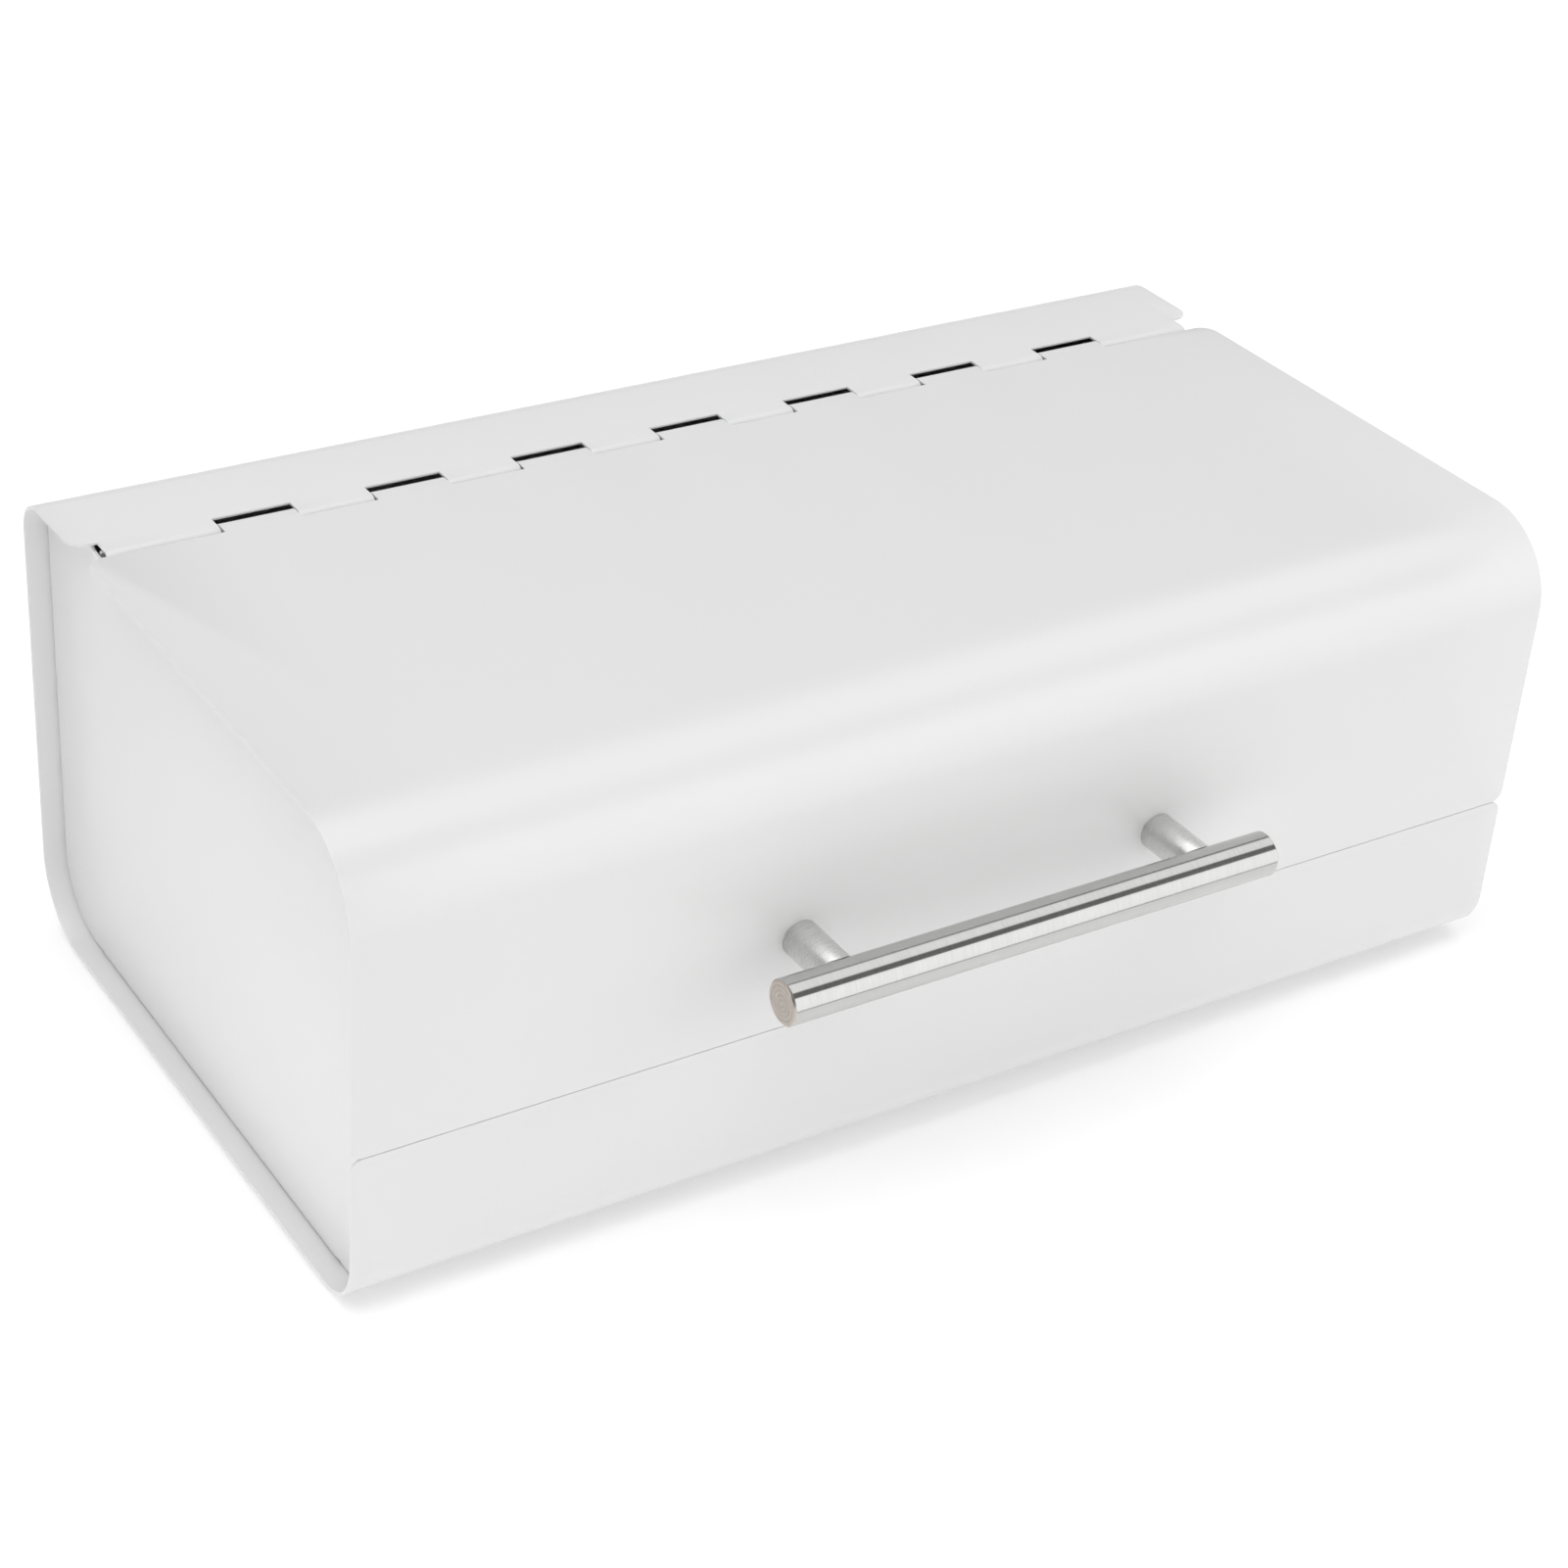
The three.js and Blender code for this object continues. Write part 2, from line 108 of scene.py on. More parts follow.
@dataclass(frozen=True)
class Layout:
    """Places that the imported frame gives, and the sheet worker's own sizes that go with them."""

    half: float
    front: float
    back: float
    bottom: float
    top: float
    lid_bottom: float
    pin_y: float
    pin_z: float
    pin_radius: float
    pin_half: float
    panel_out: float
    sheet: float = 1.0 * MM
    split_gap: float = 0.2 * MM
    front_notch_gap: float = 0.5 * MM
    rear_notch_gap: float = 1.5 * MM
    knuckle_gap: float = 0.35 * MM
    knuckle_pitch: float = 50.8 * MM
    lid_knuckles: int = 7

    @classmethod
    def from_frame(cls) -> "Layout":
        """Reads the places of the bent sheets, the panels and the pin."""
        wrap_low, wrap_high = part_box("body_wrap")
        lid_low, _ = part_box("lid")
        pin_low, pin_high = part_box("hinge_pin")
        hinge = next(j for j in frame["joints"] if j["name"] == "lid_hinge")
        return cls(
            half=wrap_high.x, front=wrap_low.y, back=wrap_high.y, bottom=wrap_low.z, top=wrap_high.z,
            lid_bottom=lid_low.z, pin_y=hinge["pos_m"][1], pin_z=hinge["pos_m"][2],
            pin_radius=(pin_high.z - pin_low.z) / 2, pin_half=pin_high.x,
            panel_out=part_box("side_panel_right")[1].x,
        )

    @property
    def roll_radius(self) -> float:
        """Outside radius of a rolled knuckle, which is flush with the top."""
        return self.top - self.pin_z

    @property
    def strip_top(self) -> float:
        """Upper edge of the low strip in front."""
        return self.lid_bottom - self.split_gap

    @property
    def body_notch(self) -> float:
        """Y of the body sheet's edge behind the hinge."""
        return self.pin_y + self.roll_radius + self.rear_notch_gap

    @property
    def lid_notch(self) -> float:
        """Y of the lid sheet's edge in front of the hinge."""
        return self.pin_y - self.roll_radius - self.front_notch_gap

    @property
    def knuckle_half(self) -> float:
        """Half the width of one knuckle."""
        return (self.knuckle_pitch / 2 - self.knuckle_gap) / 2

    def lid_spans(self) -> list[tuple[float, float]]:
        """X ranges of the lid's knuckles."""
        middle = (self.lid_knuckles - 1) / 2
        centres = [(i - middle) * self.knuckle_pitch for i in range(self.lid_knuckles)]
        return [(x - self.knuckle_half, x + self.knuckle_half) for x in centres]

    def body_spans(self) -> list[tuple[float, float]]:
        """X ranges of the body's knuckles, the two longer ones at the ends included."""
        middle = (self.lid_knuckles - 2) / 2
        centres = [(i - middle) * self.knuckle_pitch for i in range(self.lid_knuckles - 1)]
        spans = [(x - self.knuckle_half, x + self.knuckle_half) for x in centres]
        inner = self.lid_knuckles / 2 * self.knuckle_pitch - self.knuckle_half
        outer = self.panel_out - self.sheet - self.knuckle_gap
        return [(-outer, -inner), *spans, (inner, outer)]


# ------------------------------------------------------------------ the work bench


def deselect_everything() -> None:
    """Leaves nothing selected, so that an operator acts only on the piece on the bench."""
    bpy.ops.object.select_all(action="DESELECT")


def on_bench(piece: bpy.types.Object) -> None:
    """Makes a piece the only selected and active object."""
    deselect_everything()
    piece.select_set(True)
    bpy.context.view_layer.objects.active = piece


def settle(name: str) -> bpy.types.Object:
    """Names the primitive that was just added and puts its place into its mesh.

    Args:
        name: The piece's name.

    Returns:
        The piece, at the origin, unturned and unscaled.
    """
    piece = bpy.context.active_object
    piece.name = name
    piece.data.name = name
    on_bench(piece)
    bpy.ops.object.transform_apply(location=True, rotation=True, scale=True)
    return piece


def add_plate(name: str, centre: Point, size: tuple[float, float],
              turn: Point = (0, 0, 0)) -> bpy.types.Object:
    """Adds a flat rectangular blank.

    Args:
        name: The piece's name.
        centre: Middle of the blank.
        size: Its extent along its own X and Y, before it is turned.
        turn: Rotation as XYZ Euler angles.

    Returns:
        The blank, with its place in its mesh.
    """
    deselect_everything()
    bpy.ops.mesh.primitive_plane_add(size=1, location=centre, rotation=turn)
    bpy.context.active_object.scale = (*size, 1)
    return settle(name)


def add_rod(name: str, centre: Point, radius: float, length: float, axis: str,
            sides: int = 64) -> bpy.types.Object:
    """Adds a round bar along a row axis.

    Args:
        name: The piece's name.
        centre: Middle of the bar.
        radius: Its radius.
        length: Its length.
        axis: "X", "Y" or "Z".
        sides: How many flats stand for the round.

    Returns:
        The bar, with its place in its mesh.
    """
    turn = {"X": (0, math.pi / 2, 0), "Y": (math.pi / 2, 0, 0), "Z": (0, 0, 0)}[axis]
    deselect_everything()
    bpy.ops.mesh.primitive_cylinder_add(
        vertices=sides, radius=radius, depth=length, location=centre, rotation=turn)
    return settle(name)


@contextmanager
def editing(piece: bpy.types.Object) -> Iterator[None]:
    """Holds a piece in edit mode for the steps inside the block."""
    on_bench(piece)
    bpy.ops.object.mode_set(mode="EDIT")
    try:
        yield
    finally:
        bpy.ops.object.mode_set(mode="OBJECT")


def middle_of(item: bmesh.types.BMVert | bmesh.types.BMEdge | bmesh.types.BMFace) -> Vector:
    """The middle of a vertex, an edge or a face."""
    if isinstance(item, bmesh.types.BMVert):
        return item.co.copy()
    return sum((v.co for v in item.verts), Vector()) / len(item.verts)


def pick(part: Part, wanted: Callable[..., bool]) -> int:
    """Selects what passes a test, and nothing else, in the piece that is in edit mode.

    Args:
        part: Whether vertices, edges or faces are picked.
        wanted: Called with the item and its middle.

    Returns:
        How many were picked.
    """
    bpy.ops.mesh.select_mode(type=part.name)
    bpy.ops.mesh.select_all(action="DESELECT")
    mesh = bmesh.from_edit_mesh(bpy.context.edit_object.data)
    found = [item for item in getattr(mesh, part.value) if wanted(item, middle_of(item))]
    for item in found:
        item.select_set(True)
    mesh.select_flush_mode()
    bmesh.update_edit_mesh(bpy.context.edit_object.data)
    return len(found)


def near(value: float, target: float, reach: float = TINY) -> bool:
    """Whether a coordinate lies on a plane."""
    return abs(value - target) < reach


def cut_across(positions: list[float], normal: Point) -> None:
    """Scores the piece in edit mode with planes at these positions along a row axis."""
    for position in positions:
        bpy.ops.mesh.select_all(action="SELECT")
        bpy.ops.mesh.bisect(plane_co=[position * n for n in normal], plane_no=normal)


def apply_modifier(piece: bpy.types.Object, kind: str, **settings: object) -> None:
    """Adds a modifier with these settings and applies it."""
    on_bench(piece)
    modifier = piece.modifiers.new(kind.title(), kind)
    for key, value in settings.items():
        setattr(modifier, key, value)
    bpy.ops.object.modifier_apply(modifier=modifier.name)


def round_edges(piece: bpy.types.Object, radius: float, segments: int = 2, sharper_than: float = 50) -> None:
    """Rounds every edge that is sharper than an angle in degrees."""
    apply_modifier(piece, "BEVEL", width=radius, segments=segments, limit_method="ANGLE",
                   angle_limit=math.radians(sharper_than), use_clamp_overlap=True)


def smooth(piece: bpy.types.Object, angle: float = 35) -> None:
    """Shades a piece smooth, except over edges sharper than an angle in degrees."""
    on_bench(piece)
    bpy.ops.object.shade_smooth_by_angle(angle=math.radians(angle))


def drill(piece: bpy.types.Object, tool: bpy.types.Object) -> None:
    """Cuts a tool's shape out of a piece and throws the tool away."""
    apply_modifier(piece, "BOOLEAN", operation="DIFFERENCE", object=tool, solver="EXACT")
    bpy.data.objects.remove(tool)


def bevel_picked(radius: float, segments: int, at: str = "EDGES") -> None:
    """Rounds what is picked in edit mode, either edges or corners in the plane of a blank."""
    bpy.ops.mesh.bevel(offset=radius, offset_type="OFFSET", segments=segments, affect=at, clamp_overlap=False)


class FoldingPress:
    """Walks the picked open edge of a blank through straight runs and bends, in the YZ plane.

    The walk follows the outside of the sheet. `hand` is 1 where the inside lies to the left of the
    walk, seen with +Y to the right and +Z up, and -1 where it lies to the right.
    """

    def __init__(self, y: float, z: float, heading: float, hand: int) -> None:
        """Starts at a point of the outside with a heading in degrees from +Y towards +Z."""
        self.at = Vector((0, y, z))
        self.heading = math.radians(heading)
        self.hand = hand

    def _inward(self) -> Vector:
        """Direction from the outside to the inside of the sheet."""
        return self.hand * Vector((0, -math.sin(self.heading), math.cos(self.heading)))

    def run(self, length: float) -> "FoldingPress":
        """Draws the edge out straight."""
        step = length * Vector((0, math.cos(self.heading), math.sin(self.heading)))
        bpy.ops.mesh.extrude_region_move(TRANSFORM_OT_translate={"value": step})
        self.at += step
        return self

    def jog(self, dy: float, dz: float) -> "FoldingPress":
        """Steps the edge aside without changing its heading."""
        step = Vector((0, dy, dz))
        bpy.ops.mesh.extrude_region_move(TRANSFORM_OT_translate={"value": step})
        self.at += step
        return self

    def bend(self, degrees: float, radius: float, steps: int) -> "FoldingPress":
        """Bends the edge towards the inside, round a centre at the outside radius."""
        centre = self.at + radius * self._inward()
        angle = self.hand * math.radians(degrees)
        # the spin tool turns the other way round its axis than the right hand does
        bpy.ops.mesh.spin(steps=steps, angle=-angle, center=centre, axis=(1, 0, 0), use_auto_merge=False)
        self.heading += angle
        self.at = centre - radius * self._inward()
        return self


def close_sheet(piece: bpy.types.Object, outside: Point, at: Point, thickness: float) -> None:
    """Turns a folded skin's faces outwards and gives it its thickness on the inside.

    Args:
        piece: The folded skin.
        outside: The direction that the skin's face nearest to `at` has to look in.
        at: A point on that face.
        thickness: The sheet's thickness.
    """
    with editing(piece):
        bpy.ops.mesh.select_all(action="SELECT")
        bpy.ops.mesh.remove_doubles(threshold=TINY)
        bpy.ops.mesh.normals_make_consistent(inside=False)
        mesh = bmesh.from_edit_mesh(piece.data)
        target = Vector(at)
        face = min(mesh.faces, key=lambda f: (f.calc_center_median() - target).length)
        if face.normal.dot(Vector(outside)) < 0:
            bpy.ops.mesh.flip_normals()
    apply_modifier(piece, "SOLIDIFY", thickness=thickness, offset=-1, use_even_offset=True, use_rim=True)


def finish_piece(piece: bpy.types.Object, material: bpy.types.Material, body: Body, slot: Slot,
                 *nodes: str) -> bpy.types.Object:
    """Dresses a piece, lets it ride on its body and hides the CAD nodes that it stands for.

    Args:
        piece: The finished piece.
        material: Its material, in the first slot.
        body: The body it moves with.
        slot: The record's slot that its finish belongs to. Not used.
        *nodes: The CAD nodes it replaces.

    Returns:
        The piece.
    """
    if piece.data.materials:
        piece.data.materials[0] = material
    else:
        piece.data.materials.append(material)
    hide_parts(*nodes)
    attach(piece, body.value)
    log.info("%s: %d faces", piece.name, len(piece.data.polygons))
    return piece


# ------------------------------------------------------------------ finishes


def linear(hex_colour: str) -> Colour:
    """Turns an sRGB hex colour such as "#E9E9E7" into linear RGBA."""
    parts = [int(hex_colour[i:i + 2], 16) / 255 for i in (1, 3, 5)]
    return (*[c / 12.92 if c <= 0.04045 else ((c + 0.055) / 1.055) ** 2.4 for c in parts], 1.0)


def add_node(material: bpy.types.Material, kind: str, settings: dict | None = None,
             **inputs: object) -> bpy.types.Node:
    """Adds one shader node.

    Args:
        material: The material or world whose tree gets the node.
        kind: The node's type, without its "ShaderNode" start.
        settings: The node's own properties.
        **inputs: Input sockets by name, with _ for a space: an output socket to link, or a value.

    Returns:
        The node.
    """
    tree = material.node_tree
    node = tree.nodes.new("ShaderNode" + kind)
    for key, value in (settings or {}).items():
        setattr(node, key, value)
    for key, value in inputs.items():
        name = key.replace("_", " ")
        socket = node.inputs[int(name[1:])] if name[0] == "i" and name[1:].isdigit() else node.inputs[name]
        if isinstance(value, bpy.types.NodeSocket):
            tree.links.new(value, socket)
        else:
            socket.default_value = value
    return node


def new_material(name: str) -> bpy.types.Material:
    """Makes an empty node material."""
    material = bpy.data.materials.new(name)
    material.use_nodes = True
    material.node_tree.nodes.clear()
    return material


# Powder coat gives the eye an even white with soft, wide highlights on the bends. Its peel is
# drawn shallower than a real coat's, and its gloss hardly varies: a wider swing shows as speckles.
@dataclass(frozen=True)
class PowderCoat:
    """White polyester powder coat, sprayed dry and baked: even, satin, with a faint orange peel."""

    name: str = "white_powder_coat"
    colour: str = "#E3E3E3"
    shade: str = "#E1E1E1"
    roughness: float = 0.28
    gloss_sway: float = 0.006
    peel_mm: float = 1.1
    peel_depth_mm: float = 0.001
    wave_mm: float = 90.0
    wave_depth_mm: float = 0.05

    def build(self) -> bpy.types.Material:
        """Makes the material."""
        m = new_material(self.name)
        place = add_node(m, "TexCoord").outputs["Object"]
        waves = add_node(m, "TexNoise", Vector=place, Scale=1000 / self.wave_mm, Detail=1.0, Roughness=0.4)
        peel = add_node(m, "TexNoise", Vector=place, Scale=1000 / self.peel_mm, Detail=1.0, Roughness=0.4)
        tint = add_node(m, "Mix", {"data_type": "RGBA"}, Factor=waves.outputs["Fac"])
        tint.inputs["A"].default_value = linear(self.colour)
        tint.inputs["B"].default_value = linear(self.shade)
        gloss = add_node(m, "MapRange", Value=peel.outputs["Fac"], To_Min=self.roughness - self.gloss_sway,
                         To_Max=self.roughness + self.gloss_sway)
        sway = add_node(m, "Bump", Height=waves.outputs["Fac"], Strength=1.0,
                        Distance=self.wave_depth_mm * MM)
        skin = add_node(m, "Bump", Height=peel.outputs["Fac"], Strength=1.0,
                        Distance=self.peel_depth_mm * MM, Normal=sway.outputs["Normal"])
        paint = add_node(m, "BsdfPrincipled", Base_Color=tint.outputs["Result"],
                         Roughness=gloss.outputs["Result"], Normal=skin.outputs["Normal"])
        add_node(m, "OutputMaterial", Surface=paint.outputs["BSDF"])
        return m


# Brushed stainless gives the eye crisp bands along the bar, blurred only lengthways. Real brushing
# is about 0.05 mm apart, too fine to show, so it is drawn at 0.6 mm.
@dataclass(frozen=True)
class TurnedSteel:
    """Stainless steel, drawn bright and fine-brushed round its axis: sharp streaks, faint grain."""

    name: str
    colour: str = "#C2C2C0"
    roughness: float = 0.16
    grain_mm: float = 0.6
    grain_depth_mm: float = 0.002
    grain_run: float = 12
    cloud_mm: float = 14.0
    axis: str = "X"
    streak: float = 0.75

    def build(self) -> bpy.types.Material:
        """Makes the material."""
        m = new_material(self.name)
        place = add_node(m, "TexCoord").outputs["Object"]
        stretch = [1000 / (self.grain_mm * self.grain_run)] * 3
        stretch["XYZ".index(self.axis)] = 1000 / self.grain_mm
        lines = add_node(m, "Mapping", Vector=place, Scale=stretch)
        grain = add_node(m, "TexNoise", Vector=lines.outputs["Vector"], Scale=1.0, Detail=3.0, Roughness=0.6)
        cloud = add_node(m, "TexNoise", Vector=place, Scale=1000 / self.cloud_mm, Detail=2.0)
        spread = add_node(m, "MapRange", Value=grain.outputs["Fac"], To_Min=0.75 * self.roughness,
                          To_Max=1.3 * self.roughness)
        blotch = add_node(m, "MapRange", Value=cloud.outputs["Fac"], To_Min=0.95, To_Max=1.03)
        line = add_node(m, "MapRange", Value=grain.outputs["Fac"], To_Min=0.9, To_Max=1.08)
        bright = add_node(m, "Math", {"operation": "MULTIPLY"}, i0=blotch.outputs["Result"],
                          i1=line.outputs["Result"])
        # a quarter turn lays the blur along the axis instead of round it
        around = add_node(m, "Tangent", {"direction_type": "RADIAL", "axis": self.axis})
        tint = add_node(m, "Mix", {"data_type": "RGBA", "blend_type": "MULTIPLY"}, Factor=1.0)
        tint.inputs["A"].default_value = linear(self.colour)
        m.node_tree.links.new(bright.outputs["Value"], tint.inputs["B"])
        scratch = add_node(m, "Bump", Height=grain.outputs["Fac"], Strength=1.0,
                           Distance=self.grain_depth_mm * MM)
        steel = add_node(m, "BsdfPrincipled", Base_Color=tint.outputs["Result"], Metallic=1.0,
                         Roughness=spread.outputs["Result"], Normal=scratch.outputs["Normal"],
                         Anisotropic=self.streak, Anisotropic_Rotation=0.25,
                         Tangent=around.outputs["Tangent"])
        add_node(m, "OutputMaterial", Surface=steel.outputs["BSDF"])
        return m


# A faced end gives the eye dull, warmer rings. Real tool marks are about 0.2 mm apart, too fine to
# show, so they are drawn at 1.4 mm.
@dataclass(frozen=True)
class FacedEnd:
    """The sawn and faced end of a bar: rings left by the lathe tool, a little warmer and duller."""

    name: str
    centre: Point
    colour: str = "#B5AAA1"
    polished: str = "#DAD3CC"
    roughness: float = 0.34
    cloud_mm: float = 3.0
    ring_mm: float = 1.4
    ring_contrast: float = 0.22
    ring_depth_mm: float = 0.03

    def build(self) -> bpy.types.Material:
        """Makes the material."""
        m = new_material(self.name)
        place = add_node(m, "TexCoord").outputs["Object"]
        centred = add_node(m, "Mapping", Vector=place, Location=[-c for c in self.centre])
        split = add_node(m, "SeparateXYZ", Vector=centred.outputs["Vector"])
        flat = add_node(m, "CombineXYZ", X=0.0, Y=split.outputs["Y"], Z=split.outputs["Z"])
        reach = add_node(m, "VectorMath", {"operation": "LENGTH"}, i0=flat.outputs["Vector"])
        turns = add_node(m, "Math", {"operation": "MULTIPLY"}, i0=reach.outputs["Value"],
                         i1=2 * math.pi * 1000 / self.ring_mm)
        rings = add_node(m, "Math", {"operation": "SINE"}, i0=turns.outputs["Value"])
        cloud = add_node(m, "TexNoise", Vector=place, Scale=1000 / self.cloud_mm, Detail=3.0)
        worn = add_node(m, "Math", {"operation": "MULTIPLY_ADD"}, i0=rings.outputs["Value"],
                        i1=self.ring_contrast, i2=cloud.outputs["Fac"])
        tint = add_node(m, "Mix", {"data_type": "RGBA"}, Factor=worn.outputs["Value"])
        tint.inputs["A"].default_value = linear(self.colour)
        tint.inputs["B"].default_value = linear(self.polished)
        groove = add_node(m, "Bump", Height=rings.outputs["Value"], Strength=1.0,
                          Distance=self.ring_depth_mm * MM)
        steel = add_node(m, "BsdfPrincipled", Base_Color=tint.outputs["Result"], Metallic=1.0,
                         Roughness=self.roughness, Normal=groove.outputs["Normal"])
        add_node(m, "OutputMaterial", Surface=steel.outputs["BSDF"])
        return m


# Zinc plating gives the eye a cloudy, half-matt grey without streaks.
@dataclass(frozen=True)
class ZincPlate:
    """Zinc-plated steel hardware: bluish grey, cloudy, half matt."""

    name: str = "zinc_plated_steel"
    colour: str = "#B4B7B9"
    shade: str = "#9A9C9C"
    roughness: float = 0.36
    cloud_mm: float = 2.5

    def build(self) -> bpy.types.Material:
        """Makes the material."""
        m = new_material(self.name)
        place = add_node(m, "TexCoord").outputs["Object"]
        cloud = add_node(m, "TexNoise", Vector=place, Scale=1000 / self.cloud_mm, Detail=4.0, Roughness=0.6)
        tint = add_node(m, "Mix", {"data_type": "RGBA"}, Factor=cloud.outputs["Fac"])
        tint.inputs["A"].default_value = linear(self.colour)
        tint.inputs["B"].default_value = linear(self.shade)
        dull = add_node(m, "MapRange", Value=cloud.outputs["Fac"], To_Min=self.roughness - 0.06,
                        To_Max=self.roughness + 0.1)
        steel = add_node(m, "BsdfPrincipled", Base_Color=tint.outputs["Result"], Metallic=1.0,
                         Roughness=dull.outputs["Result"])
        add_node(m, "OutputMaterial", Surface=steel.outputs["BSDF"])
        return m


# Rubber and silicone give the eye a soft, dull surface. The pits of the mould are under 0.1 mm and
# too fine to show, so they are drawn at 0.35 mm.
@dataclass(frozen=True)
class SoftPad:
    """Moulded rubber or silicone: soft sheen, fine pitting from the mould."""

    name: str
    colour: str
    roughness: float
    transmission: float = 0.0
    pit_mm: float = 0.35
    cloud_mm: float = 6.0
    pit_depth_mm: float = 0.02

    def build(self) -> bpy.types.Material:
        """Makes the material."""
        m = new_material(self.name)
        place = add_node(m, "TexCoord").outputs["Object"]
        pits = add_node(m, "TexNoise", Vector=place, Scale=1000 / self.pit_mm, Detail=2.0)
        cloud = add_node(m, "TexNoise", Vector=place, Scale=1000 / self.cloud_mm, Detail=2.0)
        bright = add_node(m, "MapRange", Value=cloud.outputs["Fac"], To_Min=0.9, To_Max=1.08)
        tint = add_node(m, "Mix", {"data_type": "RGBA", "blend_type": "MULTIPLY"}, Factor=1.0)
        tint.inputs["A"].default_value = linear(self.colour)
        m.node_tree.links.new(bright.outputs["Result"], tint.inputs["B"])
        skin = add_node(m, "Bump", Height=pits.outputs["Fac"], Strength=1.0, Distance=self.pit_depth_mm * MM)
        rubber = add_node(m, "BsdfPrincipled", Base_Color=tint.outputs["Result"], Roughness=self.roughness,
                          Transmission_Weight=self.transmission, Normal=skin.outputs["Normal"])
        add_node(m, "OutputMaterial", Surface=rubber.outputs["BSDF"])
        return m


@dataclass
class Finishes:
    """The materials that the pieces share."""

    paint: bpy.types.Material = field(default_factory=lambda: PowderCoat().build())
    zinc: bpy.types.Material = field(default_factory=lambda: ZincPlate().build())
    foot_rubber: bpy.types.Material = field(
        default_factory=lambda: SoftPad("grey_rubber", "#8E908F", 0.62).build())
    silicone: bpy.types.Material = field(
        default_factory=lambda: SoftPad("clear_silicone", "#E4E7E5", 0.3, transmission=0.5).build())


# ------------------------------------------------------------------ the box


